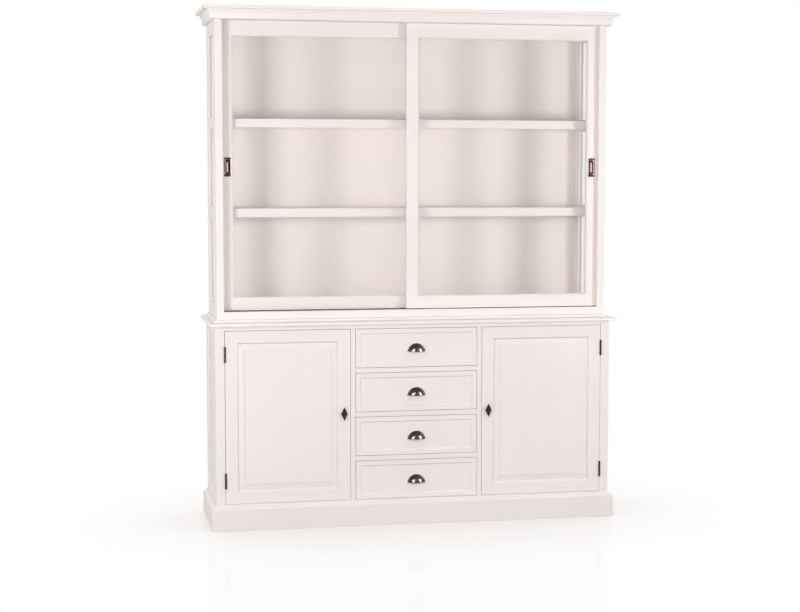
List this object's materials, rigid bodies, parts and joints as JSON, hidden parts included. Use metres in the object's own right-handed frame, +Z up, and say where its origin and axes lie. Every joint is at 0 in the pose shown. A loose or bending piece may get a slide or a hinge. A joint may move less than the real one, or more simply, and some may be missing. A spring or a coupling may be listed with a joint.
{
  "type": "tall cupboard",
  "caption": "Tall painted display cupboard: a base with panelled hinged doors and drawers under a glazed case with sliding doors, shelves and a moulded cornice.",
  "frame": {"origin": "on the floor, under the middle of the cupboard's bounding box", "axes": "+X to the right as seen from the front, +Y to the back, +Z up"},
  "size_m": [1.79, 0.474, 2.2],
  "materials": {
    "painted_wood": "satin paint",
    "bare_wood": "sealed",
    "clear_glass": "polished",
    "dark_bronze": "antique satin",
    "nylon": "moulded",
    "steel": "zinc plated"
  },
  "bodies": {
    "cabinet": {"plinth": "painted_wood", "base_side_left": "painted_wood", "base_side_right": "painted_wood", "base_side_panels": "painted_wood", "base_stiles": "painted_wood", "base_rails": "painted_wood", "base_partitions": "painted_wood", "base_bottom": "painted_wood", "base_back": "painted_wood", "base_top": "painted_wood", "base_shelves": "painted_wood", "shelf_battens": "painted_wood", "drawer_runners": "bare_wood", "door_catches": "nylon", "hinge_case_leaves": "dark_bronze", "hinge_pins": "dark_bronze", "case_side_left": "painted_wood", "case_side_right": "painted_wood", "case_side_panes": "clear_glass", "case_foot": "painted_wood", "case_stiles": "painted_wood", "case_rails": "painted_wood", "case_bottom": "painted_wood", "case_top": "painted_wood", "case_back": "painted_wood", "case_shelves": "painted_wood", "door_guides": "painted_wood", "cornice": "painted_wood"},
    "glass_door_left": {"left_glass_door_frame": "painted_wood", "left_glass_door_pane": "clear_glass", "left_glass_door_beads": "painted_wood", "left_glass_door_glides": "nylon", "left_glass_door_pull": "dark_bronze"},
    "glass_door_right": {"right_glass_door_frame": "painted_wood", "right_glass_door_pane": "clear_glass", "right_glass_door_beads": "painted_wood", "right_glass_door_glides": "nylon", "right_glass_door_pull": "dark_bronze"},
    "door_left": {"left_door_frame": "painted_wood", "left_door_panel": "painted_wood", "left_door_knob": "dark_bronze", "left_door_hinge_leaves": "dark_bronze", "left_door_strike": "steel"},
    "door_right": {"right_door_frame": "painted_wood", "right_door_panel": "painted_wood", "right_door_knob": "dark_bronze", "right_door_hinge_leaves": "dark_bronze", "right_door_strike": "steel"},
    "drawer_1": {"drawer_1_front": "painted_wood", "drawer_1_box": "bare_wood", "drawer_1_pull": "dark_bronze"},
    "drawer_2": {"drawer_2_front": "painted_wood", "drawer_2_box": "bare_wood", "drawer_2_pull": "dark_bronze"},
    "drawer_3": {"drawer_3_front": "painted_wood", "drawer_3_box": "bare_wood", "drawer_3_pull": "dark_bronze"},
    "drawer_4": {"drawer_4_front": "painted_wood", "drawer_4_box": "bare_wood", "drawer_4_pull": "dark_bronze"}
  },
  "joints": [
    {"name": "glass_door_left_slide", "type": "slide", "parent": "cabinet", "child": "glass_door_left", "axis": [1, 0, 0], "range_m": [0, 0.793]},
    {"name": "glass_door_right_slide", "type": "slide", "parent": "cabinet", "child": "glass_door_right", "axis": [-1, 0, 0], "range_m": [0, 0.793]},
    {"name": "door_left_hinge", "type": "hinge", "parent": "cabinet", "child": "door_left", "pos_m": [-0.82025, -0.2172, 0.4792], "axis": [0, 0, -1], "range_deg": [0, 165]},
    {"name": "door_right_hinge", "type": "hinge", "parent": "cabinet", "child": "door_right", "pos_m": [0.82025, -0.2172, 0.4792], "axis": [0, 0, 1], "range_deg": [0, 165]},
    {"name": "drawer_1_slide", "type": "slide", "parent": "cabinet", "child": "drawer_1", "axis": [0, -1, 0], "range_m": [0, 0.32]},
    {"name": "drawer_2_slide", "type": "slide", "parent": "cabinet", "child": "drawer_2", "axis": [0, -1, 0], "range_m": [0, 0.32]},
    {"name": "drawer_3_slide", "type": "slide", "parent": "cabinet", "child": "drawer_3", "axis": [0, -1, 0], "range_m": [0, 0.32]},
    {"name": "drawer_4_slide", "type": "slide", "parent": "cabinet", "child": "drawer_4", "axis": [0, -1, 0], "range_m": [0, 0.32]}
  ]
}
